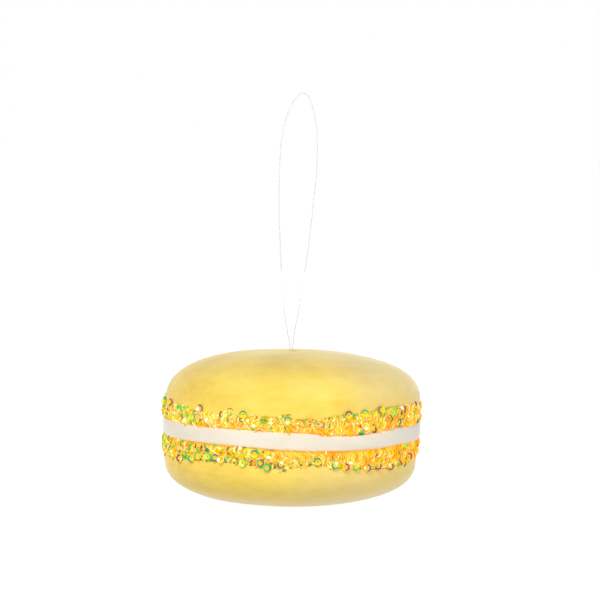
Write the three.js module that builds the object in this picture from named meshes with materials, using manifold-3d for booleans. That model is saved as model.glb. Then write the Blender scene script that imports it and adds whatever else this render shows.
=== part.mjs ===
// A macaron-shaped hanging ornament: two velvet-covered shells, a velvet filling disc between
// them, a ring of sequin trim at each seam and a clear nylon hanging loop.
// Millimetres, +Z up. It stands on the small flat under its lower shell, with the origin in
// the middle of that flat and the front towards -Y.

import * as THREE from 'three';
import { mergeVertices } from 'three/addons/utils/BufferGeometryUtils.js';
import Module from 'manifold-3d';

const wasm = await Module();
wasm.setup();

// ---- Driving dimensions ----

const seamClearance = 0.3; // between pieces that touch
const turnSteps = 44; // facets round every turned piece

const bodyHeight = 58.7;
const upperShell = { radius: 49.6, widestZ: 39.8, power: 2.45, steps: 8 };
const lowerShell = { radius: 49.4, widestZ: 17.6, power: 2.5, steps: 7, flatRadius: 14 };
const lip = { height: 0.9, tuck: 0.9 }; // rounded edge where the velvet turns in behind a trim

const filling = { radius: 50.3, bottomZ: 26.3, topZ: 32.5, crownIn: 0.9, steps: 5 };

const upperTrim = { bottomZ: 32.7, topZ: 39.8 };
const lowerTrim = { bottomZ: 18.9, topZ: 26.1 };
const trimCore = { innerRadius: 46.7, outerRadius: 49.2, corner: 0.8 };

const sequin = { diameter: 3, thickness: 0.5, sides: 7, columns: 32, rows: 3 };
const sequinStand = { least: 0.5, most: 1.1 }; // how far a sequin stands out of the core
const sequinLean = { least: 0.3, most: 1.0 }; // radians between its face and the core's
const sequinStray = { around: 0.25, up: 0.3 }; // of the distance to the next sequin

const thread = { diameter: 0.4, sides: 8, steps: 66 };

// Hand-made unevenness. The seams run down towards +X, wave a little, and the body is not
// quite round. The flat underside stays level.
const seamLean = THREE.MathUtils.degToRad(1.25);
const leanStart = { fromZ: 6, toZ: 24 };
const leanEase = { fromZ: 38, toZ: 56, share: 0.2 };
const lowerSlip = { offset: -0.7, rise: [2, 18], fall: [14, 30] }; // along X, between these heights
const upperSlip = { offset: 1.15, rise: [33, 48], fall: [80, 90] }; // whole up to the crown
// Where each seam's edge swells up or dips: [degrees round from +X, reach in degrees, rise].
const lowerTrimFoot = [[45, 20, 0.7], [80, 14, -0.4], [115, 18, 0.9], [160, 14, -0.3], [200, 11, -0.9],
  [240, 19, 0.9], [267, 8, -0.5], [281, 9, 1.4], [318, 17, -1.6]];
const lowerTrimTop = [[55, 17, 0.5], [90, 14, -0.4], [125, 18, 0.5], [165, 12, -0.3], [235, 28, 0.6],
  [290, 16, -0.4], [330, 16, 0.25]];
const upperTrimFoot = [[28, 18, -0.5], [68, 15, 0.4], [112, 16, -0.4], [152, 14, 0.4], [250, 22, 0.4],
  [297, 17, -1.1], [326, 6, 0.6]];
const upperTrimTop = [[45, 18, -0.8], [88, 17, 0.9], [134, 18, -1.0], [172, 14, 0.5], [238, 30, -1.2],
  [276, 9, -1.3], [281, 4, -1.3], [320, 17, 2.0], [345, 12, 0.7]];
const seamLevels = [5, lowerTrim.bottomZ, lowerTrim.topZ, upperTrim.bottomZ, upperTrim.topZ, 53];
const seamSwells = [[], lowerTrimFoot, lowerTrimTop, upperTrimFoot, upperTrimTop, []];
// An out-of-round swing is a share of the radius, a count round the body and a phase.
const outOfRound = [[0.0035, 2, 0.7], [0.0025, 3, 2.2], [0.0015, 5, 0.4]];

// The nylon loop, from its left foot over the top to its right foot: [x, y, z].
const loopRoute = [
  [-0.5, 2.0, 59.1],
  [-0.7, 2.0, 60.9],
  [-1.7, 2.1, 66.8],
  [-2.7, 2.3, 73.9],
  [-3.6, 2.5, 84.5],
  [-4.15, 2.7, 94.8],
  [-4.6, 2.8, 105.2],
  [-4.9, 2.9, 119.3],
  [-4.7, 2.8, 129.9],
  [-3.8, 2.7, 141.6],
  [-2.4, 2.6, 148.4],
  [-0.6, 2.5, 153.4],
  [1.6, 2.3, 157.2],
  [4.4, 2.0, 159.5],
  [6.4, 1.8, 158.2],
  [7.9, 1.6, 155.0],
  [9.1, 1.5, 150.7],
  [9.85, 1.3, 145.1],
  [10.1, 1.2, 140.3],
  [9.9, 1.1, 131.2],
  [9.2, 1.1, 122.9],
  [8.1, 1.1, 112.4],
  [6.9, 1.1, 102.0],
  [5.5, 1.2, 91.5],
  [4.1, 1.4, 82.3],
  [2.7, 1.6, 74.0],
  [1.3, 1.8, 66.9],
  [0.55, 2.0, 61.0],
  [0.4, 2.0, 59.1],
];

// ---- Materials ----

const yellowVelvet = new THREE.MeshStandardMaterial({ color: 0xf3d36e, roughness: 0.95, metalness: 0 });
const creamVelvet = new THREE.MeshStandardMaterial({ color: 0xf2e8d6, roughness: 0.95, metalness: 0 });
const sequinFilm = new THREE.MeshStandardMaterial({ color: 0xf6ae1e, roughness: 0.25, metalness: 0.1 });
const clearNylon = new THREE.MeshStandardMaterial({ color: 0xe6e8e8, roughness: 0.2, metalness: 0 });

// ---- Shared geometry ----

const { clamp, euclideanModulo, radToDeg, seededRandom, smoothstep } = THREE.MathUtils;

function swing(swings, turn) {
  return swings.reduce((sum, [size, count, phase]) => sum + size * Math.cos(count * turn + phase), 0);
}

// 1 between the rise and the fall, and 0 well below and above them.
function bandShare(band, z) {
  return smoothstep(z, ...band.rise) * (1 - smoothstep(z, ...band.fall));
}

// The rise of one seam's edge at this turn, from the swells near it.
function edgeRise(swells, turn) {
  return swells.reduce((sum, [place, reach, rise]) => {
    const away = euclideanModulo(radToDeg(turn) - place + 180, 360) - 180;
    return sum + rise * Math.exp(-((away / reach) ** 2));
  }, 0);
}

// The rise at this turn and height, eased from one seam level to the next.
function wander(turn, z) {
  const rises = seamSwells.map((swells) => edgeRise(swells, turn));
  return rises.slice(1).reduce(
    (sum, rise, i) => sum + (rise - rises[i]) * smoothstep(z, seamLevels[i], seamLevels[i + 1]), 0);
}

// Moves a point of the true turned body to its place on the hand-made one.
function settle({ x, y, z }) {
  const turn = Math.atan2(y, x);
  const spread = 1 + swing(outOfRound, turn);
  const slip = lowerSlip.offset * bandShare(lowerSlip, z) + upperSlip.offset * bandShare(upperSlip, z);
  const leanShare = smoothstep(z, leanStart.fromZ, leanStart.toZ)
    * (1 - leanEase.share * smoothstep(z, leanEase.fromZ, leanEase.toZ));
  const drop = x * Math.tan(seamLean) * leanShare;
  return new THREE.Vector3(x * spread + slip, y * spread, z - drop + wander(turn, z));
}

function settleGeometry(geometry) {
  const position = geometry.attributes.position;
  const point = new THREE.Vector3();
  for (let i = 0; i < position.count; i += 1) {
    point.fromBufferAttribute(position, i);
    position.setXYZ(i, ...settle(point));
  }
  geometry.computeVertexNormals();
  return geometry;
}

// Turns a closed profile of [radius, z] points about the Z axis.
function turned(profile) {
  const points = profile.map(([radius, z]) => new THREE.Vector2(radius, z));
  const lathe = new THREE.LatheGeometry(points, turnSteps);
  lathe.rotateX(Math.PI / 2);
  return lathe;
}

// A shell's side is a quarter of a superellipse. Height is counted from its widest level.
function crownCurve(shell, crown, fromAngle, toAngle) {
  const points = [];
  for (let i = 0; i <= shell.steps; i += 1) {
    const angle = fromAngle + (toAngle - fromAngle) * (i / shell.steps);
    const radius = shell.radius * Math.max(Math.cos(angle), 0) ** (2 / shell.power);
    const height = crown * Math.sin(angle) ** (2 / shell.power);
    points.push([radius, height]);
  }
  return points;
}

// ---- Turned pieces ----

const seatRadius = trimCore.innerRadius - seamClearance;

function upperShellProfile() {
  const { widestZ, power } = upperShell;
  const baseZ = upperTrim.bottomZ + seamClearance / 2;
  const edgeZ = upperTrim.topZ + seamClearance;
  const crown = bodyHeight - widestZ;
  const lipAngle = Math.asin(((edgeZ + lip.height - widestZ) / crown) ** (power / 2));
  const side = crownCurve(upperShell, crown, lipAngle, Math.PI / 2);
  side[side.length - 1] = [0, crown];
  const [lipRadius] = side[0];
  return [
    [0, baseZ],
    [seatRadius, baseZ],
    [seatRadius, edgeZ],
    [lipRadius - lip.tuck, edgeZ],
    [lipRadius - lip.tuck / 4, edgeZ + lip.height / 3],
    ...side.map(([radius, height]) => [radius, widestZ + height]),
  ];
}

// The crown that would be under the resting flat sets the curve down to it.
function lowerShellProfile() {
  const { radius: widest, widestZ, power, flatRadius } = lowerShell;
  const topZ = lowerTrim.topZ - seamClearance / 2;
  const edgeZ = lowerTrim.bottomZ - seamClearance;
  const crown = widestZ / (1 - (flatRadius / widest) ** power) ** (1 / power);
  const flatAngle = Math.acos((flatRadius / widest) ** (power / 2));
  const side = crownCurve(lowerShell, crown, 0, flatAngle);
  side[side.length - 1] = [flatRadius, widestZ];
  return [
    [0, 0],
    ...side.slice(1).reverse().map(([radius, drop]) => [radius, widestZ - drop]),
    [widest, widestZ - lip.height / 2],
    [widest - lip.tuck / 4, edgeZ - lip.height / 3],
    [widest - lip.tuck, edgeZ],
    [seatRadius, edgeZ],
    [seatRadius, topZ],
    [0, topZ],
  ];
}

function fillingProfile() {
  const outer = [];
  const halfHeight = (filling.topZ - filling.bottomZ) / 2;
  for (let i = 0; i <= filling.steps; i += 1) {
    const level = -1 + (2 * i) / filling.steps;
    outer.push([
      filling.radius - filling.crownIn * level ** 4,
      filling.bottomZ + halfHeight * (1 + level),
    ]);
  }
  return [[0, filling.bottomZ], ...outer, [0, filling.topZ]];
}

function trimProfile(trim) {
  const { innerRadius, outerRadius, corner } = trimCore;
  return [
    [innerRadius, trim.bottomZ],
    [outerRadius - corner, trim.bottomZ],
    [outerRadius, trim.bottomZ + corner],
    [outerRadius, trim.topZ - corner],
    [outerRadius - corner, trim.topZ],
    [innerRadius, trim.topZ],
    [innerRadius, trim.bottomZ],
  ];
}

// ---- Sequins ----

function toManifold(geometry) {
  const bare = geometry.clone();
  bare.deleteAttribute('normal');
  bare.deleteAttribute('uv');
  const merged = mergeVertices(bare, 1e-4);
  return new wasm.Manifold(new wasm.Mesh({
    numProp: 3,
    vertProperties: Float32Array.from(merged.attributes.position.array),
    triVerts: Uint32Array.from(merged.index.array),
  }));
}

function toGeometry(manifold) {
  const mesh = manifold.getMesh();
  const geometry = new THREE.BufferGeometry();
  geometry.setAttribute('position', new THREE.BufferAttribute(Float32Array.from(mesh.vertProperties), 3));
  geometry.setIndex(Array.from(mesh.triVerts));
  return geometry;
}

// A sequin disc that leans out of the core, moved up or down to stay between the trim's edges.
function sequinDisc(trim, turn, z, lean, heading, stand) {
  const radius = sequin.diameter / 2;
  const disc = new THREE.CylinderGeometry(radius, radius, sequin.thickness, sequin.sides);
  disc.rotateZ(-Math.PI / 2);
  disc.rotateY(lean);
  disc.rotateX(heading);
  disc.computeBoundingBox();
  const { min, max } = disc.boundingBox;
  const centreZ = clamp(z, trim.bottomZ - min.z, trim.topZ - max.z);
  disc.translate(trimCore.outerRadius + stand - max.x, 0, centreZ);
  disc.rotateZ(turn);
  return disc;
}

function between(least, most) {
  return least + (most - least) * seededRandom();
}

function sequinDiscs(trim, seed) {
  seededRandom(seed);
  const discs = [];
  const rowHeight = (trim.topZ - trim.bottomZ) / sequin.rows;
  const { around, up } = sequinStray;
  for (let column = 0; column < sequin.columns; column += 1) {
    for (let row = 0; row < sequin.rows; row += 1) {
      const place = column + row / sequin.rows + between(-around, around) / 2;
      const turn = (place / sequin.columns) * Math.PI * 2;
      const z = trim.bottomZ + (row + 0.5 + between(-up, up) / 2) * rowHeight;
      const lean = between(sequinLean.least, sequinLean.most);
      const heading = between(0, Math.PI * 2);
      const stand = between(sequinStand.least, sequinStand.most);
      discs.push(sequinDisc(trim, turn, z, lean, heading, stand));
    }
  }
  return discs;
}

function sequinTrim(trim, seed) {
  const core = toManifold(turned(trimProfile(trim)));
  const discs = sequinDiscs(trim, seed).map(toManifold);
  return toGeometry(discs.reduce((solid, disc) => solid.add(disc), core));
}

// ---- Hanging loop ----

function threadGeometry() {
  const circle = new THREE.EllipseCurve(0, 0, thread.diameter / 2, thread.diameter / 2);
  const section = new THREE.Shape(circle.getPoints(thread.sides).slice(1));
  const extrudePath = new THREE.CatmullRomCurve3(loopRoute.map((point) => new THREE.Vector3(...point)));
  return new THREE.ExtrudeGeometry(section, { steps: thread.steps, bevelEnabled: false, extrudePath });
}

// ---- The ornament ----

function piece(name, geometry, material) {
  const mesh = new THREE.Mesh(geometry, material);
  mesh.name = name;
  return mesh;
}

const ornament = new THREE.Group();
ornament.add(
  piece('shell_lower', settleGeometry(turned(lowerShellProfile())), yellowVelvet),
  piece('trim_lower', settleGeometry(sequinTrim(lowerTrim, 11)), sequinFilm),
  piece('filling', settleGeometry(turned(fillingProfile())), creamVelvet),
  piece('trim_upper', settleGeometry(sequinTrim(upperTrim, 29)), sequinFilm),
  piece('shell_upper', settleGeometry(turned(upperShellProfile())), yellowVelvet),
  piece('hanger_loop', threadGeometry(), clearNylon),
);

export default ornament;
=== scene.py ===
import math
import random

import bpy
import numpy as np
from mathutils import Matrix, Vector, noise


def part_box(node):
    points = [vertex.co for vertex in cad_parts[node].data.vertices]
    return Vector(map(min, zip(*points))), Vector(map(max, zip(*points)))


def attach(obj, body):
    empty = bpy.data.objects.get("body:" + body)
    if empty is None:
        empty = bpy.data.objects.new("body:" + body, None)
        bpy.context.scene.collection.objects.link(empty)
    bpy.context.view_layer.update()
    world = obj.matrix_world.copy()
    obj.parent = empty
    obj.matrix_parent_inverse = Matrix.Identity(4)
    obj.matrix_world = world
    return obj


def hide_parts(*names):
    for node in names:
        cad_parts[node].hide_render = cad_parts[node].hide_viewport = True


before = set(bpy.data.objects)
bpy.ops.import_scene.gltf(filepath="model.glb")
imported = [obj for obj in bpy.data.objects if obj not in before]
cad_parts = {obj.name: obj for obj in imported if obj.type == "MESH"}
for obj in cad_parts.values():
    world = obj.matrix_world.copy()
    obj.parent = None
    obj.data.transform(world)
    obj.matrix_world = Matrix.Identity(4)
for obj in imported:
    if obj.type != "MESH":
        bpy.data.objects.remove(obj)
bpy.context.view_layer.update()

mm = 0.001

# hand-made unevenness, shared by every piece of the body

upperTrim = {"bottomZ": 32.7, "topZ": 39.8, "outerEdge": 1, "seed": 29}  # its shell is above it
lowerTrim = {"bottomZ": 18.9, "topZ": 26.1, "outerEdge": -1, "seed": 11}  # its shell is below it
seams = {
    "lean": math.radians(1.25), "leanStart": (6, 24), "leanEase": (38, 56), "easeShare": 0.2,
    "slips": [(-0.7, (2, 18), (14, 30)), (1.15, (33, 48), (80, 90))],  # offset along X, rise, fall
    "outOfRound": [(0.0035, 2, 0.7), (0.0025, 3, 2.2), (0.0015, 5, 0.4)],  # share, count, phase
    "levels": [5, lowerTrim["bottomZ"], lowerTrim["topZ"], upperTrim["bottomZ"], upperTrim["topZ"], 53],
}
edgeSwells = [  # where each trim edge swells up or dips: degrees round from +X, reach, rise
    [(45, 20, 0.7), (80, 14, -0.4), (115, 18, 0.9), (160, 14, -0.3), (200, 11, -0.9),
     (240, 19, 0.9), (267, 8, -0.5), (281, 9, 1.4), (318, 17, -1.6)],
    [(55, 17, 0.5), (90, 14, -0.4), (125, 18, 0.5), (165, 12, -0.3), (235, 28, 0.6),
     (290, 16, -0.4), (330, 16, 0.25)],
    [(28, 18, -0.5), (68, 15, 0.4), (112, 16, -0.4), (152, 14, 0.4), (250, 22, 0.4),
     (297, 17, -1.1), (326, 6, 0.6)],
    [(45, 18, -0.8), (88, 17, 0.9), (134, 18, -1.0), (172, 14, 0.5), (238, 30, -1.2),
     (276, 9, -1.3), (281, 4, -1.3), (320, 17, 2.0), (345, 12, 0.7)],
    [],
]


def smoothRise(value, low, high):
    t = np.clip((value - low) / (high - low), 0, 1)
    return t * t * (3 - 2 * t)


def bandShare(z, rise, fall):
    return smoothRise(z, *rise) * (1 - smoothRise(z, *fall))


def swing(swings, turn):
    return sum(size * np.cos(count * turn + phase) for size, count, phase in swings)


def wander(turn, z):  # the rise there, eased from one seam level to the next
    rise = under = 0
    for low, high, swells in zip(seams["levels"], seams["levels"][1:], edgeSwells):
        level = 0
        for place, reach, size in swells:
            away = (np.degrees(turn) - place + 180) % 360 - 180
            level = level + size * np.exp(-((away / reach) ** 2))
        rise = rise + (level - under) * smoothRise(z, low, high)
        under = level
    return rise


def settle(points):  # moves points of the true turned body, in metres, to the hand-made one
    x, y, z = (points / mm).T
    turn = np.arctan2(y, x)
    spread = 1 + swing(seams["outOfRound"], turn)
    slip = sum(offset * bandShare(z, rise, fall) for offset, rise, fall in seams["slips"])
    ease = 1 - seams["easeShare"] * smoothRise(z, *seams["leanEase"])
    drop = x * math.tan(seams["lean"]) * ease * smoothRise(z, *seams["leanStart"])
    return np.stack([x * spread + slip, y * spread, z - drop + wander(turn, z)], axis=1) * mm


def meshPoints(mesh):
    flat = np.empty(len(mesh.vertices) * 3)
    mesh.vertices.foreach_get("co", flat)
    return flat.reshape(-1, 3)


def setMeshPoints(mesh, points):
    mesh.vertices.foreach_set("co", points.astype(np.float32).ravel())
    mesh.update()


class Wire:  # one shader output; arithmetic on it adds Math nodes
    def __init__(self, paint, socket):
        self.paint = paint
        self.socket = socket

    def maths(self, operation, first, second):
        return self.paint.node("ShaderNodeMath", {"operation": operation}, {0: first, 1: second})

    def __add__(self, other):
        return self.maths("ADD", self, other)

    def __radd__(self, other):
        return self.maths("ADD", other, self)

    def __sub__(self, other):
        return self.maths("SUBTRACT", self, other)

    def __rsub__(self, other):
        return self.maths("SUBTRACT", other, self)

    def __mul__(self, other):
        return self.maths("MULTIPLY", self, other)

    def __rmul__(self, other):
        return self.maths("MULTIPLY", other, self)


class Paint:  # the nodes of one material, or of the world
    def __init__(self, owner):
        self.owner = owner
        owner.use_nodes = True
        self.tree = owner.node_tree
        self.tree.nodes.clear()

    def node(self, kind, settings=None, inputs=None, output=0):
        made = self.tree.nodes.new(kind)
        for key, value in (settings or {}).items():
            if key == "stops":
                self.setStops(made.color_ramp, value)
            else:
                setattr(made, key, value)
        for key, value in (inputs or {}).items():
            if isinstance(value, Wire):
                self.tree.links.new(value.socket, made.inputs[key])
            else:
                made.inputs[key].default_value = value
        return Wire(self, made.outputs[output]) if made.outputs else made

    def setStops(self, ramp, stops):
        while len(ramp.elements) < len(stops):
            ramp.elements.new(0.5)
        for element, (position, colour) in zip(ramp.elements, stops):
            element.position = position
            element.color = (*colour, 1)

    def place(self):
        return self.node("ShaderNodeTexCoord", output="Object")

    def stretched(self, scale):
        return self.node("ShaderNodeMapping", inputs={"Vector": self.place(), "Scale": scale})

    def clouds(self, size, detail=2.0, roughness=0.5, vector=None):
        values = {"Vector": vector or self.place(), "Scale": 1 / size,
                  "Detail": detail, "Roughness": roughness}
        return self.node("ShaderNodeTexNoise", inputs=values)

    def spread(self, value, low, high):  # low..high becomes 0..1
        settings = {"clamp": True, "interpolation_type": "SMOOTHSTEP"}
        return self.node("ShaderNodeMapRange", settings, {"Value": value, "From Min": low, "From Max": high})

    def mixed(self, factor, first, second):  # two colours, each a wire or red, green and blue
        first, second = (c if isinstance(c, Wire) else (*c, 1) for c in (first, second))
        return self.node("ShaderNodeMix", {"data_type": "RGBA"}, {0: factor, 6: first, 7: second}, output=2)

    def attribute(self, name):
        return self.node("ShaderNodeAttribute", {"attribute_name": name}, output="Fac")

    def finish(self, **inputs):
        named = {key.replace("_", " "): value for key, value in inputs.items()}
        shader = self.node("ShaderNodeBsdfPrincipled", inputs=named)
        self.node("ShaderNodeOutputMaterial", inputs={"Surface": shader})
        return self.owner


def newPaint(name):
    return Paint(bpy.data.materials.new(name))


def deselectAll():
    if bpy.context.object and bpy.context.object.mode != "OBJECT":
        bpy.ops.object.mode_set(mode="OBJECT")
    bpy.ops.object.select_all(action="DESELECT")


def makeActive(piece):
    deselectAll()
    piece.select_set(True)
    bpy.context.view_layer.objects.active = piece


def applyModifier(piece, kind, **settings):
    makeActive(piece)
    modifier = piece.modifiers.new(kind.lower(), kind)
    for key, value in settings.items():
        setattr(modifier, key, value)
    bpy.ops.object.modifier_apply(modifier=modifier.name)


def dress(piece, material, node):
    piece.data.materials.clear()
    piece.data.materials.append(material)
    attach(piece, "root")
    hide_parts(node)


def turnedBody(name, rings, around):  # rings of (radius, z) in mm, drawn up ring by ring from a disc
    deselectAll()
    radius, z = (value * mm for value in rings[0])
    bpy.ops.mesh.primitive_circle_add(vertices=around, radius=radius, fill_type="NGON", location=(0, 0, 0))
    body = bpy.context.object
    body.name = name
    bpy.ops.object.mode_set(mode="EDIT")
    bpy.ops.mesh.select_all(action="SELECT")
    bpy.ops.transform.translate(value=(0, 0, z))
    for nextRadius, nextZ in rings[1:]:
        nextRadius, nextZ = nextRadius * mm, nextZ * mm
        bpy.ops.mesh.extrude_region_move(TRANSFORM_OT_translate={"value": (0, 0, nextZ - z)})
        grow = nextRadius / radius
        bpy.ops.transform.resize(value=(grow, grow, 1), center_override=(0, 0, nextZ))
        radius, z = nextRadius, nextZ
    bpy.ops.mesh.select_all(action="SELECT")
    bpy.ops.mesh.normals_make_consistent(inside=False)
    bpy.ops.object.mode_set(mode="OBJECT")
    return body


view = {"place": (0.00333, -1.19129, 0.18171), "downTilt": math.radians(4.936),
        "lens": 183.6, "sensor": 36, "clipStart": 0.05}


def makeCamera():
    camera = bpy.data.objects.new("camera", bpy.data.cameras.new("camera"))
    bpy.context.scene.collection.objects.link(camera)
    camera.location = view["place"]
    camera.rotation_euler = (math.pi / 2 - view["downTilt"], 0, 0)
    camera.data.lens = view["lens"]
    camera.data.sensor_width = view["sensor"]
    camera.data.clip_start = view["clipStart"]
    bpy.context.scene.camera = camera


makeCamera()
print("camera placed")

thread = {"diameter": 0.4 * mm, "rooted": 1.1 * mm, "length": 0.2071, "bevelSteps": 3, "curveSteps": 10,
          "hazeSize": 4 * mm, "tones": ((0.67, 0.70, 0.76), (0.75, 0.78, 0.84))}
loopRoute = [  # millimetres, from its left foot over the top to its right foot
    (-0.5, 2.0, 59.1), (-0.7, 2.0, 60.9), (-1.7, 2.1, 66.8), (-2.7, 2.3, 73.9), (-3.6, 2.5, 84.5),
    (-4.15, 2.7, 94.8), (-4.6, 2.8, 105.2), (-4.9, 2.9, 119.3), (-4.7, 2.8, 129.9), (-3.8, 2.7, 141.6),
    (-2.4, 2.6, 148.4), (-0.6, 2.5, 153.4), (1.6, 2.3, 157.2), (4.4, 2.0, 159.5), (6.4, 1.8, 158.2),
    (7.9, 1.6, 155.0), (9.1, 1.5, 150.7), (9.85, 1.3, 145.1), (10.1, 1.2, 140.3), (9.9, 1.1, 131.2),
    (9.2, 1.1, 122.9), (8.1, 1.1, 112.4), (6.9, 1.1, 102.0), (5.5, 1.2, 91.5), (4.1, 1.4, 82.3),
    (2.7, 1.6, 74.0), (1.3, 1.8, 66.9), (0.55, 2.0, 61.0), (0.4, 2.0, 59.1),
]


def nylonMaterial():
    paint = newPaint("clearNylon")
    colour = paint.mixed(paint.clouds(thread["hazeSize"]), *thread["tones"])
    return paint.finish(Base_Color=colour, Roughness=0.25, IOR=1.53, Transmission_Weight=0.2)


def makeLoop():
    curve = bpy.data.curves.new("nylon_loop", "CURVE")
    curve.dimensions = "3D"
    curve.bevel_depth = thread["diameter"] / 2
    curve.bevel_resolution = thread["bevelSteps"]
    curve.resolution_u = thread["curveSteps"]
    curve.use_fill_caps = True
    points = [Vector(point) * mm for point in loopRoute]
    down = Vector((0, 0, thread["rooted"]))
    points = [points[0] - down, *points, points[-1] - down]
    spline = curve.splines.new("BEZIER")
    spline.bezier_points.add(len(points) - 1)
    for knot, point in zip(spline.bezier_points, points):
        knot.co = point
        knot.handle_left_type = knot.handle_right_type = "AUTO"
    loop = bpy.data.objects.new("nylon_loop", curve)
    bpy.context.scene.collection.objects.link(loop)
    dress(loop, nylonMaterial(), "hanger_loop")


makeLoop()
print("hanging loop strung")

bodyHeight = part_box("shell_upper")[1][2] / mm
upperShell = {"radius": 49.6, "widestZ": 39.8, "power": 2.45, "steps": 18, "lipAngle": 0.03,
              "poleRadii": (5.2, 3.9, 2.9, 2.1, 1.4, 0.8), "seed": 3.1}
lowerShell = {"radius": 49.4, "widestZ": 17.6, "power": 2.5, "steps": 18,
              "flatRadius": 14, "flatInnerRadius": 8.4, "seed": 8.4}
lip = {"height": 0.5, "tuck": 0.2, "under": 0.5}  # the velvet runs under the outer sequins
seat = {"radius": 46.4, "innerRadius": 23.2, "gap": 0.15}  # the hidden faces behind and between the trims
pile = {"around": 80, "subdivide": 2, "lump": 0.25, "lumpSize": 17, "tuft": 0.05, "tuftSize": 1.8,
        "floorFade": (0.05, 3)}
stitch = {"x": -0.05, "y": 2.0, "width": 1.0, "depth": 0.45, "ring": 1.9, "ringWidth": 0.5, "ringRise": 0.12,
          "topOnly": (57, 58)}
nap = {"cell": 18, "squash": 1.6, "fractal": (1.0, 2.0, 3), "swing": 0.36, "middle": 0.5, "patchSquash": 1.5,
       "seamReach": 3.0, "fillingSeamReach": 1.0, "footShadeFade": (1, 15), "sideShadeBend": 0.3}
sideShades = {"upper": (0, 24), "lower": (-34, 18), "filling": (8, 50)}  # along X, where the velvet turns greyer: painted shade on the side away from the key light
napPatches = [  # where the pile is brushed the other way: x, y, z, reach, how much paler or deeper
    (-4, -25, 57.5, 12, -0.35), (6, -32, 56, 9, -0.2), (-35, -18, 53.5, 12, -0.3), (-38, -29, 46.5, 11, -0.2),
    (-25, -41, 46.5, 10, -0.1), (0, -48, 48, 16, 0.1), (10, -44, 51, 14, 0.08), (24, -32, 53, 14, -0.12),
    (-42, -26, 30, 13, -0.3), (-42, -26, 14, 12, -0.3), (-25, -43, 15, 12, -0.35), (-5, -48, 13, 10, -0.08),
    (13, -46, 11, 8, -0.15), (34, -34, 12.5, 11, -0.15),
]


def writeAttribute(mesh, name, values):
    layer = mesh.attributes.new(name, "FLOAT", "POINT")
    layer.data.foreach_set("value", np.asarray(values, dtype=np.float32))


def softenBody(body, seed, veil, seamLevels, seamReach):  # lumps, tufts, nap, stitch, then settles it
    mesh = body.data
    points = meshPoints(mesh)
    normals = np.empty(len(mesh.vertices) * 3)
    mesh.vertices.foreach_get("normal", normals)
    normals = normals.reshape(-1, 3)
    shift = Vector((seed, seed * 0.7, seed * 1.3))  # each piece has its own part of the noise
    rise, lay = np.empty((2, len(points)))
    for i, point in enumerate(points):
        where = Vector(point) / mm
        lumps = noise.noise(where / pile["lumpSize"] + shift) * pile["lump"]
        rise[i] = lumps + noise.noise(where / pile["tuftSize"] + shift) * pile["tuft"]
        flat = Vector((where.x, where.y, where.z * nap["squash"])) / nap["cell"]
        lay[i] = noise.fractal(flat + shift, *nap["fractal"]) * nap["swing"]
    x, y, z = (points / mm).T
    rise *= smoothRise(z, *pile["floorFade"])
    away = np.hypot(x - stitch["x"], y - stitch["y"])
    dimple = stitch["ringRise"] * np.exp(-((away - stitch["ring"]) / stitch["ringWidth"]) ** 2)
    dimple -= stitch["depth"] * np.exp(-(away / stitch["width"]) ** 2)
    rise += dimple * smoothRise(z, *stitch["topOnly"])
    for px, py, pz, reach, strength in napPatches:
        distance = ((x - px) ** 2 + (y - py) ** 2 + (nap["patchSquash"] * (z - pz)) ** 2) / reach ** 2
        lay += strength * np.exp(-distance)
    writeAttribute(mesh, "nap", nap["middle"] + lay)
    # painted orange glow: light from the sequins falling on the velvet beside each trim
    seam = sum(share * np.exp(-(np.abs(z - level) / seamReach) ** 2) for level, share in seamLevels)
    writeAttribute(mesh, "seam", seam)
    # darker towards the bottom of the lower shell: painted shade under the body
    writeAttribute(mesh, "foot", 1 - smoothRise(z, *nap["footShadeFade"]))
    # greyer towards +X: painted shade on the side away from the key light
    writeAttribute(mesh, "veil", smoothRise(x - nap["sideShadeBend"] * np.abs(y), *veil))
    setMeshPoints(mesh, settle(points + normals * rise[:, None] * mm))


velvet = {
    "strokeSize": 3.0 * mm, "strokeStretch": (0.5, 0.5, 1.2), "strokeDetail": 3,
    "grainSize": 0.45 * mm, "grainDetail": 2, "roughness": 0.6, "strokeLay": 0.6,
    "brushedStrokes": (0.4, 0.75), "brushedStrokeShare": 0.3,
    "brushedGrain": (0.3, 0.8), "brushedGrainShare": 0.2,
    "veilShare": (0.3, 0.4), "seamShare": (0.2, 0.5), "footShadeShare": 0.7,  # a pair: everywhere, and on strokes
    "bumpStrength": 0.35, "bumpDepth": 0.12 * mm,
    "yellow": {
        "tones": ((0.67, 0.46, 0.055), (0.77, 0.56, 0.08), (0.85, 0.655, 0.15)),
        # the seam tone is a painted orange glow of light from the sequins beside the trims
        "brushed": (0.79, 0.61, 0.17), "seam": (0.96, 0.65, 0.11),
        # the foot tone is painted shade towards the bottom
        # the veil tone is painted shade, greyer on the side away from the key light
        "foot": (0.56, 0.41, 0.12), "veil": (0.70, 0.57, 0.29),
    },
    "cream": {
        "tones": ((0.67, 0.61, 0.49), (0.72, 0.655, 0.53), (0.77, 0.70, 0.57)),
        # the seam tone is a painted peach glow of light from the sequins beside the trims
        "brushed": (0.76, 0.71, 0.61), "seam": (0.93, 0.64, 0.36),
        # the foot tone is painted shade towards the bottom
        # the veil tone is painted shade, greyer on the side away from the key light
        "foot": (0.72, 0.655, 0.53), "veil": (0.72, 0.70, 0.64),
    },
}


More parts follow.
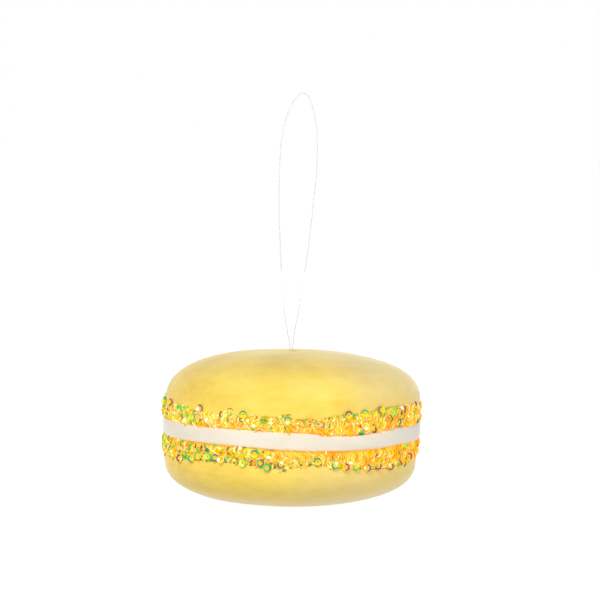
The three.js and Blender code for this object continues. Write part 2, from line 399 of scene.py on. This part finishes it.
def velvetMaterial(name, dyes):
    paint = newPaint(name)
    roughness = velvet["roughness"]
    strokes = paint.clouds(velvet["strokeSize"], velvet["strokeDetail"], roughness,
                           paint.stretched(velvet["strokeStretch"]))
    grain = paint.clouds(velvet["grainSize"], velvet["grainDetail"], roughness)
    lay = paint.attribute("nap") + velvet["strokeLay"] * strokes - velvet["strokeLay"] / 2
    stops = list(zip((0.0, 0.5, 1.0), dyes["tones"]))
    colour = paint.node("ShaderNodeValToRGB", {"stops": stops}, {"Fac": lay})
    combed = paint.spread(strokes, *velvet["brushedStrokes"]) * velvet["brushedStrokeShare"]
    colour = paint.mixed(combed, colour, dyes["brushed"])
    frosted = paint.spread(grain, *velvet["brushedGrain"]) * velvet["brushedGrainShare"]
    colour = paint.mixed(frosted, colour, dyes["brushed"])
    # the seam share lays on a painted orange glow of light from the sequins
    # the veil share lays on painted shade, greyer on the side away from the key light
    for place in ("veil", "seam"):
        everywhere, onStrokes = velvet[f"{place}Share"]
        share = paint.attribute(place) * (everywhere + onStrokes * strokes)
        colour = paint.mixed(share, colour, dyes[place])
    # painted shade: the velvet darkens towards the bottom
    colour = paint.mixed(paint.attribute("foot") * velvet["footShadeShare"], colour, dyes["foot"])
    bump = paint.node("ShaderNodeBump", inputs={
        "Strength": velvet["bumpStrength"], "Distance": velvet["bumpDepth"],
        "Height": grain * 0.5 + strokes * 0.5})
    return paint.finish(Base_Color=colour, Roughness=0.92, Normal=bump, Specular_IOR_Level=0.15,
                        Sheen_Weight=0.55, Sheen_Roughness=0.4, Sheen_Tint=(0.97, 0.98, 1.0, 1))


yellowVelvet = velvetMaterial("yellowVelvet", velvet["yellow"])
creamVelvet = velvetMaterial("creamVelvet", velvet["cream"])


def crownCurve(shell, crown, angles):  # points of the superellipse side, as (radius, height)
    share = 2 / shell["power"]
    return [(shell["radius"] * math.cos(a) ** share, crown * math.sin(a) ** share) for a in angles]


def evenSteps(start, end, steps):
    return [start + (end - start) * i / steps for i in range(steps + 1)]


def makeUpperShell():
    edgeZ = upperTrim["topZ"] - lip["under"]
    widestZ, radius, power = (upperShell[key] for key in ("widestZ", "radius", "power"))
    crown = bodyHeight - widestZ
    poleAngles = [math.acos((small / radius) ** (power / 2)) for small in upperShell["poleRadii"]]
    angles = evenSteps(upperShell["lipAngle"], poleAngles[0], upperShell["steps"])[:-1] + poleAngles
    side = crownCurve(upperShell, crown, angles)
    lipRadius = side[0][0]
    return turnedBody("velvet_shell_upper", [
        (seat["innerRadius"], upperTrim["bottomZ"] + seat["gap"]),
        (seat["radius"], upperTrim["bottomZ"] + seat["gap"]),
        (seat["radius"], edgeZ),
        (lipRadius - lip["tuck"], edgeZ),
        (lipRadius - lip["tuck"] / 4, edgeZ + lip["height"] / 3),
        *[(radius, widestZ + height) for radius, height in side],
    ], pile["around"])


def makeLowerShell():
    edgeZ = lowerTrim["bottomZ"] + lip["under"]
    widest, widestZ, power, flat = (lowerShell[key] for key in ("radius", "widestZ", "power", "flatRadius"))
    crown = widestZ / (1 - (flat / widest) ** power) ** (1 / power)
    angles = evenSteps(math.acos((flat / widest) ** (power / 2)), 0, lowerShell["steps"])
    side = crownCurve(lowerShell, crown, angles)
    return turnedBody("velvet_shell_lower", [
        (lowerShell["flatInnerRadius"], 0),
        *[(radius, max(widestZ - drop, 0)) for radius, drop in side[:-1]],
        (widest, widestZ),
        (widest - lip["tuck"] / 4, edgeZ - lip["height"] / 3),
        (widest - lip["tuck"], edgeZ),
        (seat["radius"], edgeZ),
        (seat["radius"], lowerTrim["topZ"] - seat["gap"]),
        (seat["innerRadius"], lowerTrim["topZ"] - seat["gap"]),
    ], pile["around"])


def coverBody(body, seed, veil, seamLevels, seamReach, material, node):
    applyModifier(body, "SUBSURF", levels=pile["subdivide"], render_levels=pile["subdivide"])
    softenBody(body, seed, veil, seamLevels, seamReach)
    makeActive(body)
    bpy.ops.object.shade_smooth()
    dress(body, material, node)


for side, shell, seed, edgeZ in (
    ("upper", makeUpperShell(), upperShell["seed"], upperTrim["topZ"]),
    ("lower", makeLowerShell(), lowerShell["seed"], lowerTrim["bottomZ"]),
):
    coverBody(shell, seed, sideShades[side], [(edgeZ, 1)], nap["seamReach"],
              yellowVelvet, f"shell_{side}")
print("velvet shells covered")

filling = {"radius": 50.3, "bottomZ": 25.8, "topZ": 33.15, "crownIn": 0.8, "crownPower": 6, "steps": 12,
           "seamInset": 0.3, "lowTrimGlowShare": 1.2, "highTrimGlowShare": 0.7, "seed": 5.7}


def makeFilling():
    half = (filling["topZ"] - filling["bottomZ"]) / 2
    rings = [(seat["innerRadius"], filling["bottomZ"])]
    for level in evenSteps(-1, 1, filling["steps"]):
        radius = filling["radius"] - filling["crownIn"] * level ** filling["crownPower"]
        rings.append((radius, filling["bottomZ"] + half * (1 + level)))
    rings.append((seat["innerRadius"], filling["topZ"]))
    return turnedBody("velvet_filling", rings, pile["around"])


# the filling's edges take the painted glow of light from the sequins
fillingSeams = [(filling["bottomZ"] + filling["seamInset"], filling["lowTrimGlowShare"]),
                (filling["topZ"] - filling["seamInset"], filling["highTrimGlowShare"])]
coverBody(makeFilling(), filling["seed"], sideShades["filling"], fillingSeams, nap["fillingSeamReach"],
          creamVelvet, "filling")
print("filling disc covered")

sequin = {"sides": 10, "film": 0.09, "rings": [(1.5, 0.0), (0.9, 0.18), (0.38, 0.42)]}  # radius and drop
bed = {"radius": 48.9, "thick": 1.5, "around": 160, "across": 24, "square": 7,
       "rough": 0.25, "roughSize": 1.7, "fillingGap": 0.1, "shellGap": 0.5,
       "threadSize": 0.8 * mm, "bumpDepth": 0.4 * mm,
       "tones": {"upper": ((1.0, 0.58, 0.02), (1.0, 0.76, 0.14)),
                 "lower": ((1.0, 0.52, 0.0), (1.0, 0.71, 0.10))}}
strings = {"rows": 4, "start": 0.1, "spacing": 1.08, "spacingSpread": (0.6, 1.4), "spin": 6.3,
           "centreRadius": 48.9, "radiusDrift": 0.35, "rowDrift": 0.13, "rowJitter": 0.09,
           "borderStray": 0.3, "hemStray": 1.4, "hemProud": 0.4, "slant": 1.6, "swivel": 1.5,
           "neatWobble": 0.32, "wildWobble": 0.65, "neatFrom": 0.1, "flashShare": 0.11,
           "rowLayer": 0.8,  # how far apart the rows' ripples are in the noise
           "ripples": [(6.5, 0), (5.5, 9), (4.0, 20), (3.0, 31)]}  # cells, layer: slant, swivel, drift, flip
looseSequins = {"count": 320, "thin": 0.65, "centreRadius": 49.2, "radiusDrift": 0.3, "tilt": 0.65,
                "edgeShare": 0.6, "edgeLevel": (1.05, 0.16), "otherLevel": (-0.1, 1.15),
                "edgeLean": 0.4, "otherLean": 0.1, "spinSpread": 1.0, "plainTints": (0.15, 0.55),
                "glowShare": 0.5, "flashShare": 0.3, "ringShare": 0.3}
edgeDrift = {"size": 0.8, "cells": 11, "inset": 1.55, "highLayer": 4.5}
sewnDeeper = {"upper": 0.0, "lower": 0.4}
tints = {"plainMode": {"upper": 0.31, "lower": 0.27}, "plainSlope": 0.11,  # more orange towards +X
         "plainTop": 0.59, "glowFrom": 0.63, "glowBend": 1.9}
heavySide = math.radians(215)  # more loose sequins were sewn towards here
glow = {  # the share of sequins with painted green and violet film reflections, and where more of them were sewn: degrees, reach, share
    "least": 0.05,
    "upper": [(196, 26, 0.55), (256, 12, 0.14), (325, 24, 0.2), (80, 30, 0.2)],
    "lower": [(222, 36, 0.50), (262, 14, 0.16), (328, 28, 0.16), (110, 30, 0.2)],
}
standouts = {  # single sequins that catch the eye: degrees round from +X, z, tint, flash, spin in degrees
    "radius": 50.3, "frontwards": 0.6, "glowFrom": 0.6, "glowLean": 0.15, "plainLean": 0.9, "spinSpread": 0.1,
    "upper": [(188, 38.4, 0.66, 0.5, 0), (200, 40.0, 0.96, 0.0, 0), (217, 34.6, 0.4, 1.0, 0),
              (221, 36.3, 0.71, 0.5, 0), (225, 40.8, 0.9, 1.0, 20), (231, 36.3, 0.3, 1.0, 0),
              (248, 40.2, 0.78, 0.0, 90), (254, 36.0, 0.3, 1.0, 60), (268, 38.6, 0.8, 1.0, 90),
              (295, 39.6, 0.9, 0.0, 90), (303, 39.3, 0.74, 0.0, 90), (304, 35.3, 0.3, 1.0, 90),
              (312, 39.3, 0.88, 0.0, 180), (320, 37.9, 0.67, 0.5, 0), (324, 34.9, 0.84, 0.0, 10),
              (334, 36.4, 0.3, 1.0, 0)],
    "lower": [(192, 24.8, 0.68, 1.0, 200), (203, 22.2, 0.76, 1.0, 120), (225, 21.2, 0.72, 0.0, 150),
              (231, 21.2, 0.69, 0.5, 0), (235, 21.0, 0.95, 0.5, 0), (238, 20.4, 0.3, 1.0, 0),
              (249, 20.1, 0.65, 0.5, 0), (254, 24.0, 0.82, 0.0, 90), (257, 20.9, 0.9, 0.5, 0),
              (260, 19.4, 0.83, 0.5, 0), (261, 23.9, 0.3, 1.0, 60), (266, 21.0, 0.92, 1.0, 260),
              (282, 21.2, 0.82, 0.0, 90), (290, 20.3, 0.8, 1.0, 250), (300, 20.3, 0.7, 0.0, 250),
              (297, 22.4, 0.3, 1.0, 90), (312, 20.6, 0.92, 0.0, 300), (320, 20.0, 0.95, 1.0, 310),
              (336, 21.4, 0.97, 0.0, 30), (212, 19.6, 0.97, 1.0, 180), (221, 19.9, 0.8, 0.0, 200),
              (295, 19.9, 0.94, 0.0, 0), (306, 19.9, 0.9, 1.0, 0)],
}
filmTones = {  # by tint: 0 is orange, 0.59 pale yellow, and from 0.62 on the film shows painted green to violet reflections
    "plain": [
        (0.00, (1.00, 0.37, 0.00)), (0.20, (1.00, 0.46, 0.00)), (0.40, (1.00, 0.56, 0.00)),
        (0.54, (1.00, 0.67, 0.02)), (0.59, (1.00, 0.77, 0.12)), (0.62, (1.00, 0.58, 0.02)),
        (0.80, (0.96, 0.54, 0.02)), (1.00, (0.90, 0.47, 0.02)),
    ],
    "glowing": [
        (0.57, (0.60, 0.70, 0.16)), (0.63, (0.30, 0.62, 0.14)), (0.70, (0.16, 0.56, 0.05)),
        (0.79, (0.08, 0.48, 0.08)), (0.88, (0.04, 0.33, 0.16)), (0.95, (0.10, 0.13, 0.14)),
        (1.00, (0.26, 0.08, 0.09)),
    ],
    # the glint tone is a white painted glint
    # the pale edge tone is a painted highlight on the sequins' rims
    "edgeHighlight": (1.0, 0.91, 0.60), "glint": (1.0, 1.0, 1.0),
}
filmPlaces = {  # where each tone shows: by tint, from the centre to the rim (0..1), and along the cup (-1..1)
    "glowTints": (0.6, 0.62), "glowShift": 0.13, "glowFlange": (0.50, 0.58), "glowArc": (-0.4, 0.05),
    # the pale rim, arc and tints place the painted rim highlights, brighter on one side of each cup
    "rimHighlight": (0.80, 0.92), "highlightArc": (-0.5, 0.5), "highlightLeast": 0.45, "highlightMore": 0.55,
    "highlightTints": (0.12, 0.40), "glintAt": 0.55, "glintSize": (0.12, 0.24),
}
flashes = {"ring": 0.5, "glint": 1.0}  # the painted reflection goes all the way round, or a white painted glint; 0 is neither


def sequinMaterial():
    paint = newPaint("sequinFilm")
    tint, rim, arc, across, flash = (paint.attribute(n) for n in ("tint", "rim", "arc", "across", "flash"))
    faceColour = paint.node("ShaderNodeValToRGB", {"stops": filmTones["plain"]}, {"Fac": tint})
    # the green to violet arcs are painted reflections of the iridescent film
    glowTint = tint + filmPlaces["glowShift"] * arc
    arcColour = paint.node("ShaderNodeValToRGB", {"stops": filmTones["glowing"]}, {"Fac": glowTint})
    special = paint.spread(tint, *filmPlaces["glowTints"])
    flange = paint.spread(rim, *filmPlaces["glowFlange"])
    wholeRing = paint.spread(flash, 0.4, 0.5) * (1 - paint.spread(flash, 0.5, 0.6))
    reach = paint.spread(arc + wholeRing * 2, *filmPlaces["glowArc"])
    onArc = special * flange * reach
    # painted highlights along the rims, brighter on one side of each cup
    litSide = filmPlaces["highlightLeast"] + filmPlaces["highlightMore"] * paint.spread(arc, *filmPlaces["highlightArc"])
    rimHighlight = paint.spread(rim, *filmPlaces["rimHighlight"]) * litSide
    edgeHighlight = (1 - special) * rimHighlight * paint.spread(tint, *filmPlaces["highlightTints"])
    colour = paint.mixed(edgeHighlight, faceColour, filmTones["edgeHighlight"])
    colour = paint.mixed(onArc, colour, arcColour)
    # a white painted glint on one side of the cup
    along = arc + filmPlaces["glintAt"]
    offSpot = along * along + across * across * (0.5 + 2 * tint)
    glint = paint.spread(flash, 0.7, 0.8) * (1 - paint.spread(offSpot, *filmPlaces["glintSize"]))
    colour = paint.mixed(glint, colour, filmTones["glint"])
    # the emission is painted light: the film glows in its own colours, lifting its shaded parts
    return paint.finish(Base_Color=colour, Metallic=onArc * 0.15, Roughness=0.16, IOR=1.45,
                        Specular_IOR_Level=0.04, Coat_Weight=0.02, Coat_Roughness=0.04,
                        Emission_Color=colour, Emission_Strength=0.22)


def bedMaterial(side):
    paint = newPaint(f"trimBed{side.title()}")
    threads = paint.clouds(bed["threadSize"], detail=3)
    colour = paint.mixed(threads, *bed["tones"][side])
    relief = {"Strength": 0.8, "Distance": bed["bumpDepth"], "Height": threads}
    bump = paint.node("ShaderNodeBump", inputs=relief)
    # the emission is painted light: the ribbon glows in its own colour, for light scattered through the
    # sequins
    return paint.finish(Base_Color=colour, Roughness=0.5, Normal=bump,
                        Emission_Color=colour, Emission_Strength=0.25)


def makeBed(name, trim, outerEdge, seed):  # the backing ribbon, a closed ring under the sequins
    deselectAll()
    lowGap, highGap = (bed["fillingGap"], bed["shellGap"])[::outerEdge]
    middle = (trim["topZ"] - highGap + trim["bottomZ"] + lowGap) / 2
    tall = trim["topZ"] - highGap - middle
    core = bed["radius"] - bed["thick"]
    bpy.ops.mesh.primitive_torus_add(major_segments=bed["around"], minor_segments=bed["across"],
                                     major_radius=core * mm, minor_radius=bed["thick"] * mm)
    band = bpy.context.object
    band.name = name
    x, y, z = (meshPoints(band.data) / mm).T
    turn = np.arctan2(y, x)
    across, up = (np.hypot(x, y) - core) / bed["thick"], z / bed["thick"]
    fuller = (np.abs(across) ** bed["square"] + np.abs(up) ** bed["square"]) ** (-1 / bed["square"])
    places = (Vector((a, b, c + seed)) / bed["roughSize"] for a, b, c in zip(x, y, z))
    gathers = [bed["rough"] * noise.noise(place) for place in places]
    radius = core + across * fuller * bed["thick"] + np.array(gathers)
    points = np.stack([radius * np.cos(turn), radius * np.sin(turn), middle + up * fuller * tall], axis=1)
    setMeshPoints(band.data, settle(points * mm))
    bpy.ops.object.shade_smooth()
    return band


def makeMasterSequin():  # a small cup with a hole, facing +Z
    deselectAll()
    radius, depth = (value * mm for value in sequin["rings"][0])
    bpy.ops.mesh.primitive_circle_add(vertices=sequin["sides"], radius=radius, fill_type="NOTHING")
    cup = bpy.context.object
    bpy.ops.object.mode_set(mode="EDIT")
    bpy.ops.mesh.select_all(action="SELECT")
    for ring in sequin["rings"][1:]:
        nextRadius, nextDepth = (value * mm for value in ring)
        bpy.ops.mesh.extrude_region_move(TRANSFORM_OT_translate={"value": (0, 0, depth - nextDepth)})
        shrink = nextRadius / radius
        bpy.ops.transform.resize(value=(shrink, shrink, 1), center_override=(0, 0, 0))
        radius, depth = nextRadius, nextDepth
    bpy.ops.object.mode_set(mode="OBJECT")
    applyModifier(cup, "SOLIDIFY", thickness=sequin["film"] * mm, offset=0)
    bpy.ops.object.mode_set(mode="EDIT")
    bpy.ops.mesh.select_all(action="SELECT")
    bpy.ops.transform.translate(value=(0, 0, depth / 2))
    bpy.ops.mesh.normals_make_consistent(inside=False)
    bpy.ops.object.mode_set(mode="OBJECT")
    return cup


def joinCopies(name, master, places):  # a place is a centre, a facing, a spin, a tint and a flash
    points = meshPoints(master.data)
    faces = np.array([list(face.vertices) for face in master.data.polygons])
    outer = sequin["rings"][0][0] * mm
    allPoints = []
    for centre, facing, spin, *_ in places:
        turn = facing.to_track_quat("Z", "Y").to_matrix() @ Matrix.Rotation(spin, 3, "Z")
        allPoints.append(points @ np.array(turn).T + np.array(centre))
    allFaces = np.concatenate([faces + i * len(points) for i in range(len(places))])
    mesh = bpy.data.meshes.new(name)
    mesh.from_pydata(np.concatenate(allPoints).tolist(), [], allFaces.tolist())
    values = {
        "rim": np.tile(np.hypot(points[:, 0], points[:, 1]) / outer, len(places)),
        "arc": np.tile(points[:, 0] / outer, len(places)),
        "across": np.tile(points[:, 1] / outer, len(places)),
        "tint": np.repeat([place[3] for place in places], len(points)),
        "flash": np.repeat([place[4] for place in places], len(points)),
    }
    for key, numbers in values.items():
        writeAttribute(mesh, key, numbers)
    copies = bpy.data.objects.new(name, mesh)
    bpy.context.scene.collection.objects.link(copies)
    return copies


def ripple(turn, cells, layer):  # smooth noise round the body, about -0.6..0.6
    return noise.noise(Vector((math.cos(turn) * cells, math.sin(turn) * cells, layer)))


def bodyPoint(turn, z, radius):  # from millimetres on the true turned body to metres on the hand-made one
    return Vector(settle(np.array([[radius * math.cos(turn), radius * math.sin(turn), z]]) * mm)[0])


def bandPoint(trim, turn, level, radius, seed):  # level 0..1 up the trim, whose edges drift
    lowDrift = ripple(turn, edgeDrift["cells"], seed)
    highDrift = ripple(turn, edgeDrift["cells"], seed + edgeDrift["highLayer"])
    low = trim["bottomZ"] + edgeDrift["inset"] + edgeDrift["size"] * lowDrift
    high = trim["topZ"] - edgeDrift["inset"] + edgeDrift["size"] * highDrift
    return bodyPoint(turn, low + level * (high - low), radius)


def glowingTint(rng):
    return tints["glowFrom"] + (1 - tints["glowFrom"]) * rng.random() ** tints["glowBend"]


def glowHere(side, turn):  # the share of sequins with painted green and violet reflections at this turn
    share = glow["least"]
    for place, reach, more in glow[side]:
        away = (math.degrees(turn) - place + 180) % 360 - 180
        share += more * math.exp(-((away / reach) ** 2))
    return share


def stringPlaces(side, trim, outerEdge, rng, seed):  # rows of sequins strung edge to edge round the trim
    places = []
    hemRow, borderRow = (0, strings["rows"] - 1)[::outerEdge]  # beside the filling, beside the shell
    for row in range(strings["rows"]):
        turn = rng.uniform(0, strings["start"])
        stray = {hemRow: strings["hemStray"], borderRow: strings["borderStray"]}.get(row, 1)
        while turn < 2 * math.pi:
            outward = Vector((math.cos(turn), math.sin(turn), 0))
            along = Vector((-math.sin(turn), math.cos(turn), 0))
            wildness = strings["neatWobble"] if outward.x > strings["neatFrom"] else strings["wildWobble"]
            rowLayer = seed + row * strings["rowLayer"]
            slanted, swivelled, drifted, flipped = (
                ripple(turn, cells, rowLayer + layer) for cells, layer in strings["ripples"])
            slant = slanted * strings["slant"] + rng.gauss(0, wildness)
            swivel = swivelled * strings["swivel"] + rng.gauss(0, wildness)
            drift = drifted * strings["rowDrift"] + rng.gauss(0, strings["rowJitter"])
            level = row / (strings["rows"] - 1) + stray * drift
            facing = along + Vector((0, 0, slant)) + outward * swivel
            if flipped > 0:
                facing.negate()
            radius = strings["centreRadius"] - sewnDeeper[side] + rng.uniform(-1, 1) * strings["radiusDrift"]
            radius += strings["hemProud"] * (row == hemRow)
            plainMode = tints["plainMode"][side] - tints["plainSlope"] * outward.x
            glowing = rng.random() < glowHere(side, turn)
            tint = glowingTint(rng) if glowing else rng.triangular(0, tints["plainTop"], plainMode)
            flash = flashes["glint"] * (rng.random() < strings["flashShare"])
            centre = bandPoint(trim, turn, level, radius, seed)
            places.append((centre, facing.normalized(), rng.uniform(0, strings["spin"]), tint, flash))
            turn += strings["spacing"] * rng.uniform(*strings["spacingSpread"]) / strings["centreRadius"]
    return places


def loosePlaces(side, trim, outerEdge, rng, seed):  # flatter sequins outside, most beside the shell
    sewn = looseSequins
    places = []
    while len(places) < sewn["count"]:
        turn = rng.uniform(0, 2 * math.pi)
        outward = Vector((math.cos(turn), math.sin(turn), 0))
        along = Vector((-math.sin(turn), math.cos(turn), 0))
        if rng.random() < sewn["thin"] * (1 - math.cos(turn - heavySide)) / 2:
            continue
        nearEdge = rng.random() < sewn["edgeShare"]
        level = rng.gauss(*sewn["edgeLevel"]) if nearEdge else rng.uniform(*sewn["otherLevel"])
        level = level if outerEdge > 0 else 1 - level
        lean = outerEdge * (sewn["edgeLean"] if nearEdge else sewn["otherLean"]) + rng.gauss(0, sewn["tilt"])
        facing = outward + Vector((0, 0, lean)) + along * rng.gauss(0, sewn["tilt"])
        drift = rng.uniform(-sewn["radiusDrift"], sewn["radiusDrift"])
        radius = sewn["centreRadius"] - sewnDeeper[side] + drift
        spin = outerEdge * math.pi / 2 + rng.gauss(0, sewn["spinSpread"])
        glowing = rng.random() < sewn["glowShare"] + glowHere(side, turn)
        tint = glowingTint(rng) if glowing else rng.uniform(*sewn["plainTints"])
        chance = rng.random()
        flash = flashes["ring"] * (chance > 1 - sewn["ringShare"])
        if chance < sewn["flashShare"]:
            flash = flashes["glint"]
        places.append((bandPoint(trim, turn, level, radius, seed), facing.normalized(), spin, tint, flash))
    return places


def standoutPlaces(side, rng):
    places = []
    for degrees, z, tint, flash, spin in standouts[side]:
        turn = math.radians(degrees)
        lean = standouts["glowLean"] if tint > standouts["glowFrom"] else standouts["plainLean"]
        facing = Vector((math.cos(turn), math.sin(turn) - standouts["frontwards"], lean))
        spin = math.radians(spin) + rng.gauss(0, standouts["spinSpread"])
        centre = bodyPoint(turn, z, standouts["radius"] - sewnDeeper[side])
        places.append((centre, facing.normalized(), spin, tint, flash))
    return places


def makeTrims():
    film = sequinMaterial()
    master = makeMasterSequin()
    for side, trim in (("upper", upperTrim), ("lower", lowerTrim)):
        outerEdge, seed = trim["outerEdge"], trim["seed"]
        node = f"trim_{side}"
        rng = random.Random(seed)
        dress(makeBed(f"trim_bed_{side}", trim, outerEdge, seed), bedMaterial(side), node)
        strung = joinCopies(f"strung_sequins_{side}", master, stringPlaces(side, trim, outerEdge, rng, seed))
        dress(strung, film, node)
        places = loosePlaces(side, trim, outerEdge, rng, seed) + standoutPlaces(side, rng)
        loose = joinCopies(f"loose_sequins_{side}", master, places)
        dress(loose, film, node)
        print(side, "trim sewn:", len(strung.data.polygons) + len(loose.data.polygons), "faces")
    bpy.data.objects.remove(master, do_unlink=True)


makeTrims()

studio = {
    "tableRadius": 4.0, "tableSides": 96, "tableTone": 0.06, "speckleTone": 1.05, "speckleSize": 0.2,
    "tableGlow": 0.955, "lightsAim": (0, 0, 0.03),
    "key": {"place": (-0.40, -1.05, 1.15), "size": 0.5, "power": 13.5},
    "fill": {"place": (0.6, -0.95, 1.1), "size": 0.5, "power": 4.5},
    "back": {"place": (0.1, 1.15, 0.13), "size": 0.24, "power": 3},  # low, so that the crown stays soft
    "airLow": 1.0, "airHigh": 0.45, "airFade": (0.12, 0.5),
}


def makeLightTable():
    deselectAll()
    bpy.ops.mesh.primitive_circle_add(vertices=studio["tableSides"], radius=studio["tableRadius"],
                                      fill_type="NGON")
    table = bpy.context.object
    table.name = "light_table"
    paint = newPaint("lightTable")
    speckle = paint.clouds(studio["speckleSize"])
    tone = studio["tableTone"]
    colour = paint.mixed(speckle, (tone,) * 3, (tone * studio["speckleTone"],) * 3)
    table.data.materials.append(paint.finish(
        Base_Color=colour, Roughness=0.9, Specular_IOR_Level=0.1,
        Emission_Color=(1, 1, 1, 1), Emission_Strength=studio["tableGlow"]))


def makeLight(name, light):
    lamp = bpy.data.lights.new(name, "AREA")
    lamp.energy = light["power"]
    lamp.size = light["size"]
    holder = bpy.data.objects.new(name, lamp)
    bpy.context.scene.collection.objects.link(holder)
    holder.location = light["place"]
    holder.visible_camera = False
    toward = Vector(studio["lightsAim"]) - holder.location
    holder.rotation_euler = toward.to_track_quat("-Z", "Y").to_euler()


def makeAir():  # white round the horizon, softer overhead
    world = bpy.data.worlds.new("air")
    paint = Paint(world)
    direction = paint.node("ShaderNodeTexCoord", output="Generated")
    height = paint.node("ShaderNodeSeparateXYZ", inputs={"Vector": direction}, output="Z")
    low, high = (studio["airLow"],) * 3, (studio["airHigh"],) * 3
    colour = paint.mixed(paint.spread(height, *studio["airFade"]), low, high)
    background = paint.node("ShaderNodeBackground", inputs={"Color": colour})
    paint.node("ShaderNodeOutputWorld", inputs={"Surface": background})
    bpy.context.scene.world = world
    bpy.context.scene.view_settings.view_transform = "Standard"


makeLightTable()
for name in ("key", "fill", "back"):
    makeLight(name, studio[name])
makeAir()
print("studio lit")

deselectAll()
